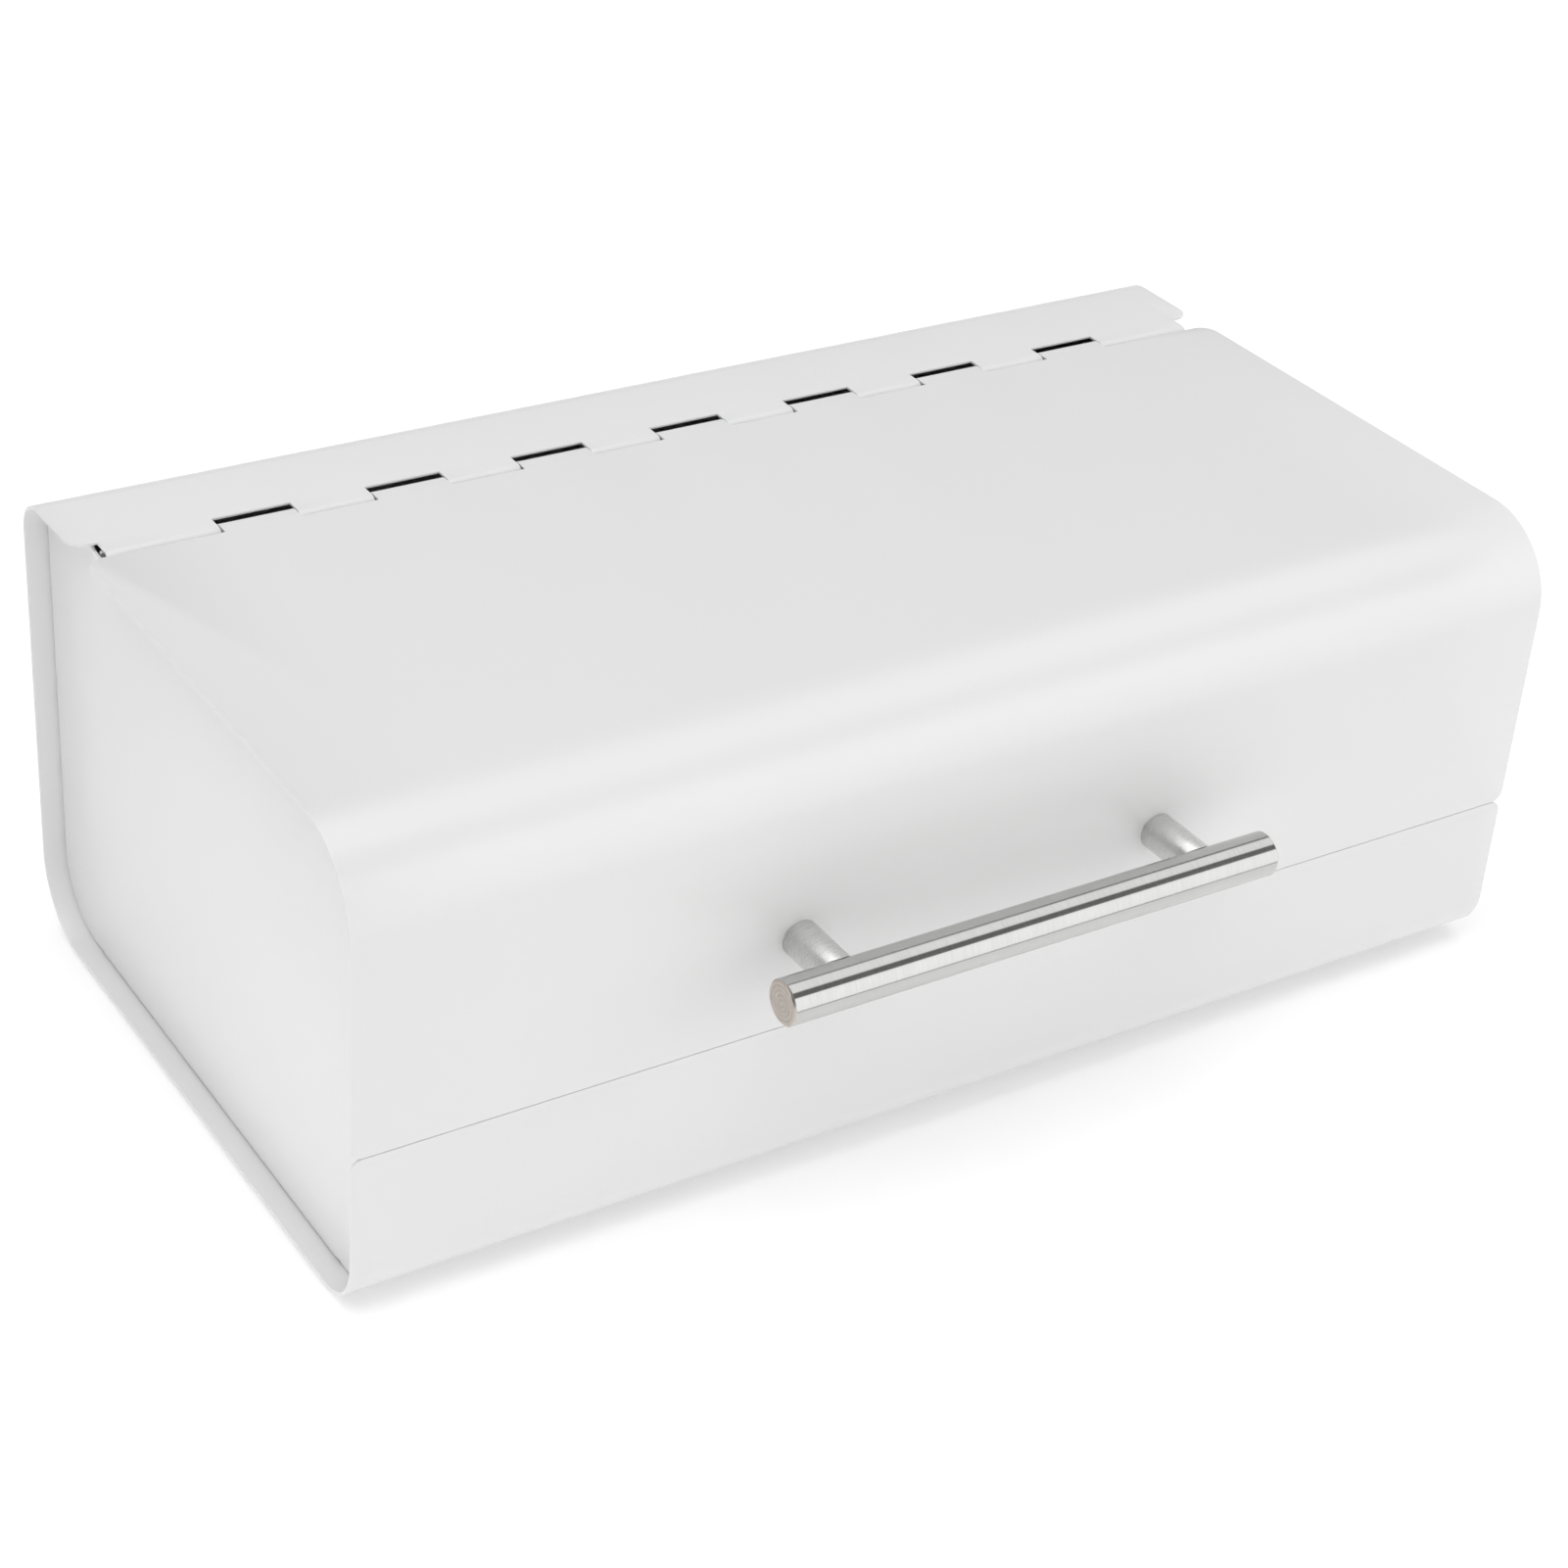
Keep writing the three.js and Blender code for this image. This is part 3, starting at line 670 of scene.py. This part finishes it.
@dataclass
class BodyShell:
    """The body: the sheet that wraps round back, bottom and front, its end panels and the pin."""

    at: Layout
    looks: Finishes
    back_top_bend: float = 12 * MM
    back_bottom_bend: float = 25 * MM
    front_bottom_bend: float = 17 * MM
    lid_bend: float = 28 * MM
    hinge_corner: float = 6 * MM
    split_corner: float = 4 * MM
    edge_round: float = 0.2 * MM
    clearance: float = 0.1 * MM
    lid_clearance: float = 1.6 * MM
    front_step: float = 6 * MM
    rear_step: float = 2 * MM
    flange: float = 10 * MM
    fold_radius: float = 1.4 * MM
    toe: float = 0.6 * MM
    foot_run: float = 4 * MM
    hinge_room: float = 2 * MM
    pin_round: float = 0.5 * MM

    def wrap(self) -> bpy.types.Object:
        """Folds the body's sheet from the strip behind the hinge round to the front."""
        at = self.at
        flat_end = at.back - self.back_top_bend
        blank = add_plate("body_wrap_sheet", (0, (at.body_notch + flat_end) / 2, at.top),
                          (2 * at.half, flat_end - at.body_notch))
        spans = at.body_spans()
        with editing(blank):
            cut_across([x for span in spans for x in span], (1, 0, 0))
            pick(Part.EDGE, lambda e, c: all(near(v.co.y, flat_end) for v in e.verts))
            press = FoldingPress(flat_end, at.top, heading=0, hand=-1)
            press.bend(90, self.back_top_bend, 20)
            press.run(at.top - at.bottom - self.back_top_bend - self.back_bottom_bend)
            press.bend(90, self.back_bottom_bend, 28)
            press.run(at.back - at.front - self.back_bottom_bend - self.front_bottom_bend)
            press.bend(90, self.front_bottom_bend, 24)
            press.run(at.strip_top - at.bottom - self.front_bottom_bend)
            pick_knuckle_edges(at.body_notch, spans)
            roll_knuckles(at, at.body_notch, heading=180)
            round_free_corners(at, at.body_notch, None, self.hinge_corner)
            round_free_corners(at, at.front, at.strip_top, self.split_corner)
        close_sheet(blank, (0, 0, 1), (0, flat_end - 5 * MM, at.top), at.sheet)
        round_edges(blank, self.edge_round)
        smooth(blank)
        return finish_piece(blank, self.looks.paint, Body.BOX, Slot.PAINT, "body_wrap")

    def panel_skin(self) -> bpy.types.Object:
        """Walks the right-hand side panel's flange round the inside of the sheets and closes its face."""
        at = self.at
        wall = at.sheet + self.clearance
        lid_wall = at.sheet + self.lid_clearance
        drop = lid_wall - wall
        flat_start = at.front + self.lid_bend
        step_y = at.body_notch + self.rear_step
        step_z = at.strip_top - self.front_step
        top = at.top - lid_wall
        skin = add_plate("side_panel_sheet_right",
                         (at.panel_out - self.flange / 2, (flat_start + step_y - drop) / 2, top),
                         (self.flange, step_y - drop - flat_start))
        hinge_low, hinge_high = at.pin_y - at.roll_radius - self.hinge_room, step_y + self.hinge_room
        with editing(skin):
            cut_across([hinge_low], (0, 1, 0))
            pick(Part.EDGE, lambda e, c: all(near(v.co.y, flat_start) for v in e.verts))
            press = FoldingPress(flat_start, top, heading=180, hand=1)
            press.bend(90, self.lid_bend - lid_wall, 30)
            press.run(at.top - self.lid_bend - step_z - drop).jog(-drop, -drop)
            press.run(step_z - at.bottom - self.front_bottom_bend)
            press.bend(90, self.front_bottom_bend - wall, 20)
            low_start = at.front + self.front_bottom_bend + self.foot_run
            low_end = at.back - self.back_bottom_bend - self.foot_run
            press.run(self.foot_run).run(self.foot_run)
            press.run(low_end - low_start - 2 * self.foot_run)
            press.run(self.foot_run).run(self.foot_run)
            press.bend(90, self.back_bottom_bend - wall, 26)
            press.run(at.top - at.bottom - self.back_bottom_bend - self.back_top_bend)
            press.bend(90, self.back_top_bend - wall, 16)
            press.run(at.back - self.back_top_bend - hinge_high).run(hinge_high - step_y)
            press.jog(-drop, -drop)
            bpy.ops.mesh.select_all(action="SELECT")
            bpy.ops.mesh.remove_doubles(threshold=TINY)
            pick(Part.EDGE, lambda e, c: near(c.x, at.panel_out))
            bpy.ops.mesh.edge_face_add()
            floor_level = at.bottom + wall
            pick(Part.FACE, lambda f, c: c.x < at.panel_out - TINY and (
                (near(c.z, floor_level) and low_start < c.y < low_end)
                or (c.z > top - TINY and hinge_low < c.y < hinge_high)))
            bpy.ops.mesh.delete(type="FACE")
            pick(Part.EDGE, lambda e, c: near(c.x, at.panel_out) and len(e.link_faces) == 2)
            bevel_picked(self.fold_radius, 6)
            pick(Part.VERT, lambda v, c: near(c.x, at.panel_out) and near(c.z, floor_level)
                 and low_start + self.foot_run - TINY < c.y < low_end - self.foot_run + TINY)
            bpy.ops.transform.translate(value=(0, 0, self.toe))
        return skin

    def side_panels(self) -> list[bpy.types.Object]:
        """Makes the two side panels, the left one as the right one's mirror image."""
        at = self.at
        right = self.panel_skin()
        on_bench(right)
        bpy.ops.object.duplicate()
        left = bpy.context.active_object
        left.name = left.data.name = "side_panel_sheet_left"
        left.scale.x = -1
        on_bench(left)
        bpy.ops.object.transform_apply(location=True, rotation=True, scale=True)
        panels = []
        for panel, side in ((left, Side.LEFT), (right, Side.RIGHT)):
            middle = (side.value * at.panel_out, 0, (at.bottom + at.top) / 2)
            close_sheet(panel, (side.value, 0, 0), middle, at.sheet)
            round_edges(panel, self.edge_round / 2)
            smooth(panel)
            node = f"side_panel_{side.name.lower()}"
            panels.append(finish_piece(panel, self.looks.paint, Body.BOX, Slot.PAINT, node))
        return panels

    def pin(self) -> bpy.types.Object:
        """Cuts the hinge pin to length and rounds its ends."""
        at = self.at
        pin = add_rod("hinge_pin_rod", (0, at.pin_y, at.pin_z), at.pin_radius, 2 * at.pin_half, "X", 32)
        round_edges(pin, self.pin_round, 3)
        smooth(pin)
        return finish_piece(pin, self.looks.zinc, Body.BOX, Slot.ZINC, "hinge_pin")


def pick_knuckle_edges(notch: float, spans: list[tuple[float, float]]) -> None:
    """Picks the edges at the notch line that grow into knuckles."""
    pick(Part.EDGE, lambda e, c: all(near(v.co.y, notch) for v in e.verts)
         and any(low < c.x < high for low, high in spans))


def roll_knuckles(at: Layout, notch: float, heading: float) -> None:
    """Draws the picked tongues over the pin and rolls them round it."""
    press = FoldingPress(notch, at.top, heading, hand=1 if heading == 180 else -1)
    press.run(abs(notch - at.pin_y))
    press.bend(300, at.roll_radius, 30)


def round_free_corners(at: Layout, y: float, z: float | None, radius: float) -> None:
    """Rounds the two corners of the blank that lie at both ends of an edge."""
    level = at.top if z is None else z
    pick(Part.VERT, lambda v, c: near(abs(c.x), at.half) and near(c.y, y) and near(c.z, level))
    bevel_picked(radius, 8, "VERTICES")


@dataclass
class LidShell:
    """The lid: one sheet with a wide bend, rolled round the pin at its rear edge."""

    at: Layout
    looks: Finishes
    bend: float = 28 * MM
    hinge_corner: float = 6 * MM
    split_corner: float = 4 * MM
    edge_round: float = 0.2 * MM
    hole_radius: float = 2.3 * MM

    def sheet(self) -> bpy.types.Object:
        """Folds the lid's sheet from the hinge down to the split, and drills it for the handle."""
        at = self.at
        flat_end = at.front + self.bend
        blank = add_plate("lid_sheet", (0, (at.lid_notch + flat_end) / 2, at.top),
                          (2 * at.half, at.lid_notch - flat_end))
        spans = at.lid_spans()
        with editing(blank):
            cut_across([x for span in spans for x in span], (1, 0, 0))
            pick(Part.EDGE, lambda e, c: all(near(v.co.y, flat_end) for v in e.verts))
            press = FoldingPress(flat_end, at.top, heading=180, hand=1)
            press.bend(90, self.bend, 36)
            press.run(at.top - self.bend - at.lid_bottom)
            pick_knuckle_edges(at.lid_notch, spans)
            roll_knuckles(at, at.lid_notch, heading=0)
            round_free_corners(at, at.lid_notch, None, self.hinge_corner)
            round_free_corners(at, at.front, at.lid_bottom, self.split_corner)
        close_sheet(blank, (0, 0, 1), (0, flat_end + 5 * MM, at.top), at.sheet)
        round_edges(blank, self.edge_round)
        for side in Side:
            low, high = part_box(f"handle_post_{side.name.lower()}")
            hole = ((low.x + high.x) / 2, at.front, (low.z + high.z) / 2)
            drill(blank, add_rod("drill", hole, self.hole_radius, 4 * at.sheet, "Y", 32))
        smooth(blank)
        return finish_piece(blank, self.looks.paint, Body.LID, Slot.PAINT, "lid")


# ------------------------------------------------------------------ the handle


def ring_of(name: str, low: Vector, high: Vector, bore: float, sides: int = 48) -> bpy.types.Object:
    """Turns a disc with its axis along Y that fills a box, and opens a bore through it.

    Args:
        name: The piece's name.
        low: Lowest corner of the box.
        high: Highest corner of the box.
        bore: Radius of the bore.
        sides: How many flats stand for the round.

    Returns:
        The ring.
    """
    radius = (high.x - low.x) / 2
    ring = add_rod(name, (low + high) / 2, radius, high.y - low.y, "Y", sides)
    with editing(ring):
        pick(Part.FACE, lambda f, c: abs(f.normal.y) > 0.9)
        bpy.ops.mesh.inset(thickness=radius - bore)
        bpy.ops.mesh.bridge_edge_loops()
    return ring


@dataclass
class Handle:
    """The bar handle: a brushed bar on two hollow posts, screwed on from inside the lid."""

    looks: Finishes
    end_chamfer: float = 0.6 * MM
    bore_radius: float = 2.3 * MM
    cope_gap: float = 0.15 * MM
    seat_gap: float = 0.05 * MM
    head_height: float = 2.4 * MM
    shank_radius: float = 2.0 * MM
    recess_width: float = 0.8 * MM
    recess_depth: float = 0.8 * MM
    tip_room: float = 0.6 * MM
    tip_chamfer: float = 0.6 * MM
    post_round: float = 0.2 * MM
    washer_round: float = 0.15 * MM

    def bar(self) -> bpy.types.Object:
        """Turns the bar, chamfers and faces its ends and drills it for the screws."""
        low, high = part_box("handle_bar")
        centre, radius = (low + high) / 2, (high.z - low.z) / 2
        bar = add_rod("handle_bar_ground", centre, radius, high.x - low.x, "X", 128)
        with editing(bar):
            pick(Part.EDGE, lambda e, c: near(e.verts[0].co.x, e.verts[1].co.x))
            bevel_picked(self.end_chamfer, 1)
        for side in Side:
            post_low, post_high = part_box(f"handle_post_{side.name.lower()}")
            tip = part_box(f"handle_screw_{side.name.lower()}")[0].y - self.tip_room
            reach = high.y + MM - tip
            x = (post_low.x + post_high.x) / 2
            drill(bar, add_rod("drill", (x, tip + reach / 2, centre.z), self.bore_radius, reach, "Y", 32))
        ground = TurnedSteel("brushed_stainless_steel_bar").build()
        faced = FacedEnd("brushed_stainless_steel_faced_end", centre=tuple(centre)).build()
        bar.data.materials.append(ground)
        bar.data.materials.append(faced)
        with editing(bar):
            pick(Part.FACE, lambda f, c: abs(f.normal.x) > 0.5)
            bar.active_material_index = 1
            bpy.ops.object.material_slot_assign()
        smooth(bar)
        return finish_piece(bar, ground, Body.LID, Slot.STAINLESS, "handle_bar")

    def post(self, side: Side) -> bpy.types.Object:
        """Turns one post, bores it and copes its outer end to the bar."""
        name = side.name.lower()
        low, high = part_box(f"handle_post_{name}")
        bar_low, bar_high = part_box("handle_bar")
        bar_axis = (bar_low + bar_high) / 2
        lid_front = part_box("lid")[0].y
        x, z, radius = (low.x + high.x) / 2, (low.z + high.z) / 2, (high.x - low.x) / 2
        near_end = lid_front - self.seat_gap
        post = add_rod(f"handle_post_turned_{name}", (x, (bar_axis.y + near_end) / 2, z), radius,
                       near_end - bar_axis.y, "Y", 96)
        room = (bar_high.z - bar_low.z) / 2 + self.cope_gap
        drill(post, add_rod("cope", (x, bar_axis.y, bar_axis.z), room, 4 * radius, "X", 128))
        drill(post, add_rod("drill", (x, (bar_axis.y + near_end) / 2, z), self.bore_radius,
                            2 * (near_end - bar_axis.y), "Y", 32))
        round_edges(post, self.post_round, 2, 40)
        smooth(post)
        # the posts' steel is painted lighter than the bar's same steel: painted light that stands in for
        # brighter reflections on the posts
        steel = TurnedSteel(f"brushed_stainless_steel_post_{name}", colour="#D8D8D6", roughness=0.28,
                            axis="Y").build()
        return finish_piece(post, steel, Body.LID, Slot.STAINLESS, f"handle_post_{name}")

    def washer(self, side: Side) -> bpy.types.Object:
        """Punches one flat washer."""
        name = side.name.lower()
        low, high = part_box(f"handle_washer_{name}")
        washer = ring_of(f"handle_washer_punched_{name}", low, high, self.bore_radius)
        round_edges(washer, self.washer_round)
        smooth(washer)
        return finish_piece(washer, self.looks.zinc, Body.LID, Slot.ZINC, f"handle_washer_{name}")

    def screw(self, side: Side) -> bpy.types.Object:
        """Heads one pan-head screw, draws out its shank and presses its cross recess."""
        name = side.name.lower()
        low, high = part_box(f"handle_screw_{name}")
        x, z, radius = (low.x + high.x) / 2, (low.z + high.z) / 2, (high.x - low.x) / 2
        seat = high.y - self.head_height
        screw = add_rod(f"handle_screw_pan_head_{name}", (x, (seat + high.y) / 2, z), radius,
                        self.head_height, "Y", 48)
        with editing(screw):
            pick(Part.EDGE, lambda e, c: all(near(v.co.y, high.y) for v in e.verts))
            bevel_picked(0.6 * self.head_height, 6)
            pick(Part.FACE, lambda f, c: near(c.y, seat) and f.normal.y < -0.9)
            bpy.ops.mesh.inset(thickness=radius - self.shank_radius)
            bpy.ops.mesh.extrude_region_move(TRANSFORM_OT_translate={"value": (0, low.y - seat, 0)})
            pick(Part.EDGE, lambda e, c: all(near(v.co.y, low.y) for v in e.verts))
            bevel_picked(self.tip_chamfer, 1)
        for size in ((self.recess_width, radius), (radius, self.recess_width)):
            slot = add_plate("recess", (x, high.y - self.recess_depth, z), size, (math.pi / 2, 0, 0))
            with editing(slot):
                bpy.ops.mesh.select_all(action="SELECT")
                bpy.ops.mesh.extrude_region_move(
                    TRANSFORM_OT_translate={"value": (0, 2 * self.recess_depth, 0)})
                bpy.ops.mesh.select_all(action="SELECT")
                bpy.ops.mesh.normals_make_consistent(inside=False)
            drill(screw, slot)
        smooth(screw, 30)
        return finish_piece(screw, self.looks.zinc, Body.LID, Slot.ZINC, f"handle_screw_{name}")

    def build(self) -> None:
        """Makes the whole handle."""
        self.bar()
        for side in Side:
            self.post(side)
            self.washer(side)
            self.screw(side)


# ------------------------------------------------------------------ feet and bumpers


@dataclass
class Pads:
    """The four rubber feet under the bottom and the two bumpers that the lid closes on."""

    looks: Finishes
    foot_round: float = 0.6 * MM
    foot_dish: float = 2.2 * MM
    dish_depth: float = 0.4 * MM
    bumper_round: float = 0.85 * MM

    def foot(self, row: str, side: Side) -> bpy.types.Object:
        """Moulds one foot, with a shallow dish in its tread."""
        name = f"{row}_{side.name.lower()}"
        low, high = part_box(f"foot_{name}")
        centre, radius = (low + high) / 2, (high.x - low.x) / 2
        foot = add_rod(f"foot_pad_{name}", centre, radius, high.z - low.z, "Z", 64)
        with editing(foot):
            pick(Part.EDGE, lambda e, c: all(near(v.co.z, low.z) for v in e.verts))
            bevel_picked(self.foot_round, 4)
            pick(Part.FACE, lambda f, c: f.normal.z < -0.9 and near(c.z, low.z))
            bpy.ops.mesh.inset(thickness=self.foot_dish)
            bpy.ops.mesh.inset(thickness=self.dish_depth, depth=-self.dish_depth)
        smooth(foot, 40)
        return finish_piece(foot, self.looks.foot_rubber, Body.BOX, Slot.RUBBER, f"foot_{name}")

    def bumper(self, side: Side) -> bpy.types.Object:
        """Moulds one low dome."""
        name = side.name.lower()
        low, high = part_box(f"lid_bumper_{name}")
        centre, radius = (low + high) / 2, (high.x - low.x) / 2
        dome = add_rod(f"lid_bumper_dome_{name}", centre, radius, high.z - low.z, "Z", 48)
        with editing(dome):
            pick(Part.EDGE, lambda e, c: all(near(v.co.z, high.z) for v in e.verts))
            bevel_picked(self.bumper_round, 8)
            pick(Part.FACE, lambda f, c: f.normal.z > 0.9 and near(c.z, high.z))
            bpy.ops.mesh.inset(thickness=radius / 2)
        smooth(dome, 40)
        return finish_piece(dome, self.looks.silicone, Body.BOX, Slot.SILICONE, f"lid_bumper_{name}")

    def build(self) -> None:
        """Makes all the pads."""
        for side in Side:
            self.bumper(side)
            for row in ("front", "rear"):
                self.foot(row, side)


# ------------------------------------------------------------------ the studio


@dataclass
class Studio:
    """A pale floor, soft light from all round, and the camera."""

    camera_place: Point = (-0.519, -0.7396, 0.6179)
    camera_turn_degrees: Point = (58.489, -3.735, -32.191)
    lens_mm: float = 75.96
    floor_size: float = 14.0
    table_glow: float = 0.24
    table_from: float = -0.352
    strip_width: float = 0.045
    strip_glow: float = 0.4
    tent: tuple[tuple[float, float], ...] = (
        (0.0, 0.4), (0.65, 0.4), (0.673, 0.18), (0.915, 0.18), (0.938, 1.25), (1.0, 1.25))
    ceiling_ends: tuple[float, float] = (0.72, 0.95)
    patches: tuple[tuple[tuple[float, float], tuple[float, float], float, bool], ...] = (
        ((33, 0), (0.45, 0.7), 0.74, True),
        ((78, 0), (0.45, 0.7), 0.45, True),
        ((-100, 0), (0.45, 0.7), -0.32, True),
        ((-70, 70), (0.788, 0.927), 1.12, False),
        ((180, 48), (0.766, 0.906), 0.36, False),
    )
    wall_distance: float = 2.5
    wall_width: float = 6.2
    wall_top: float = 41.0
    wall_glow: float = 1.5
    side_watts: float = 0.12
    side_place: Point = (-0.45, -0.08, 0.03)

    def camera(self) -> None:
        """Sets the camera in front at the left, above the lid."""
        data = bpy.data.cameras.new("camera")
        data.lens = self.lens_mm
        data.sensor_width = 36
        data.clip_start = 0.01
        camera = bpy.data.objects.new("camera", data)
        camera.location = self.camera_place
        camera.rotation_euler = [math.radians(a) for a in self.camera_turn_degrees]
        bpy.context.scene.collection.objects.link(camera)
        bpy.context.scene.camera = camera

    def floor(self) -> None:
        """Lays the pale floor, a table that is lit a little from below."""
        floor = add_plate("studio_floor", (0, 0, 0), (self.floor_size, self.floor_size))
        m = new_material("studio_floor")
        matt = add_node(m, "BsdfPrincipled", Base_Color=linear("#EDEDED"), Roughness=0.9,
                        Emission_Color=(1, 1, 1, 1), Emission_Strength=self.table_glow)
        matt.inputs["Specular IOR Level"].default_value = 0.1
        add_node(m, "OutputMaterial", Surface=matt.outputs["BSDF"])
        floor.data.materials.append(m)

    def card(self, name: str, centre: Point, size: tuple[float, float], turn: Point, glow: float) -> None:
        """Stands up a card that only glossy surfaces pick up, to draw the streaks on bright metal.

        Args:
            name: What the card is for.
            centre: Its middle.
            size: Its width and height.
            turn: Its rotation, as XYZ Euler angles.
            glow: Its radiance.
        """
        card = add_plate(f"studio_card_{name}", centre, size, turn)
        m = new_material(f"studio_card_{name}")
        lamp = add_node(m, "Emission", Color=(1, 1, 1, 1), Strength=glow)
        add_node(m, "OutputMaterial", Surface=lamp.outputs["Emission"])
        card.data.materials.append(m)
        card.visible_camera = card.visible_diffuse = card.visible_shadow = False

    def cards(self) -> None:
        """A bright wall in front at the right, the lit table before it, and a slim dark strip between."""
        reach = self.wall_distance
        height = reach * math.tan(math.radians(self.wall_top))
        self.card("wall", (self.wall_width / 2 - 0.1, -reach, height / 2), (self.wall_width, height),
                  (math.pi / 2, 0, 0), self.wall_glow)
        depth = reach + self.table_from
        self.card("table", (reach / 2, self.table_from - depth / 2, MM), (2 * reach, depth), (0, 0, 0),
                  self.wall_glow)
        self.card("strip", (0, self.table_from + self.strip_width / 2, MM),
                  (reach, self.strip_width), (0, 0, 0), self.strip_glow)

    def facing(self, world: bpy.types.World, azimuth: float, elevation: float,
               spread: tuple[float, float]) -> bpy.types.NodeSocket:
        """A soft patch of the tent: 1 within the inner cosine of a direction, 0 outside the outer one.

        Args:
            world: The world whose tree gets the nodes.
            azimuth: Degrees from the front towards the right.
            elevation: Degrees above the table.
            spread: Cosines of the angles at which the patch begins and is full.

        Returns:
            The patch's strength.
        """
        turn, rise = math.radians(azimuth), math.radians(elevation)
        aim = (math.sin(turn) * math.cos(rise), -math.cos(turn) * math.cos(rise), math.sin(rise))
        direction = add_node(world, "TexCoord").outputs["Generated"]
        towards = add_node(world, "VectorMath", {"operation": "DOT_PRODUCT"}, i0=direction, i1=aim)
        return add_node(world, "MapRange", {"interpolation_type": "SMOOTHSTEP"},
                        Value=towards.outputs["Value"], From_Min=spread[0],
                        From_Max=spread[1]).outputs["Result"]

    def sky(self) -> None:
        """Surrounds the table with a tent: a lit ceiling over a dark gap, a wall, a fill and a soft box."""
        world = bpy.data.worlds.new("studio")
        world.use_nodes = True
        world.node_tree.nodes.clear()
        direction = add_node(world, "TexCoord").outputs["Generated"]
        parts = add_node(world, "SeparateXYZ", Vector=direction).outputs
        upright = add_node(world, "CombineXYZ", X=0.0, Y=parts["Y"], Z=parts["Z"])
        plane = add_node(world, "VectorMath", {"operation": "NORMALIZE"}, i0=upright.outputs["Vector"])
        height = add_node(world, "SeparateXYZ", Vector=plane.outputs["Vector"]).outputs["Z"]
        sideways = add_node(world, "Math", {"operation": "ABSOLUTE"}, i0=parts["X"]).outputs["Value"]
        reach = add_node(world, "MapRange", {"interpolation_type": "SMOOTHSTEP"}, Value=sideways,
                         From_Min=self.ceiling_ends[1], From_Max=self.ceiling_ends[0]).outputs["Result"]
        height = add_node(world, "Math", {"operation": "MULTIPLY"}, i0=height, i1=reach).outputs["Value"]
        ramp = add_node(world, "ValToRGB", Fac=height)
        elements = ramp.color_ramp.elements
        while len(elements) < len(self.tent):
            elements.new(0.5)
        for element, (level, value) in zip(elements, self.tent):
            element.position = level
            element.color = (value, value, value, 1)
        low = add_node(world, "MapRange", {"interpolation_type": "SMOOTHSTEP"}, Value=height,
                       From_Min=self.tent[2][0], From_Max=self.tent[1][0]).outputs["Result"]
        total = ramp.outputs["Color"]
        for (azimuth, elevation), spread, glow, only_low in self.patches:
            patch = self.facing(world, azimuth, elevation, spread)
            if only_low:
                patch = add_node(world, "Math", {"operation": "MULTIPLY"}, i0=patch, i1=low).outputs["Value"]
            total = add_node(world, "Math", {"operation": "MULTIPLY_ADD"}, i0=patch, i1=glow,
                             i2=total).outputs["Value"]
        glow = add_node(world, "Background", Color=total, Strength=1.0)
        add_node(world, "OutputWorld", Surface=glow.outputs["Background"])
        bpy.context.scene.world = world
        bpy.context.scene.view_settings.view_transform = "Standard"

    def side_light(self) -> None:
        """Hangs one large soft lamp at the left, in front and low, that grades the end panel."""
        data = bpy.data.lights.new("studio_side_lamp", "AREA")
        data.shape = "RECTANGLE"
        data.size, data.size_y = 0.12, 0.05
        data.energy = self.side_watts
        lamp = bpy.data.objects.new("studio_side_lamp", data)
        lamp.location = self.side_place
        lamp.visible_camera = lamp.visible_glossy = False
        aim = Vector((-0.21, -0.05, 0.05)) - Vector(self.side_place)
        lamp.rotation_euler = aim.to_track_quat("-Z", "Y").to_euler()
        bpy.context.scene.collection.objects.link(lamp)

    def build(self) -> None:
        """Sets up camera, table and light."""
        self.camera()
        self.floor()
        self.cards()
        self.sky()
        self.side_light()


# ------------------------------------------------------------------ main


def main() -> None:
    """Builds the studio and every piece."""
    Studio().build()
    at = Layout.from_frame()
    looks = Finishes()
    body = BodyShell(at, looks)
    body.wrap()
    body.side_panels()
    body.pin()
    LidShell(at, looks).sheet()
    Handle(looks).build()
    Pads(looks).build()


if __name__ == "__main__":
    main()
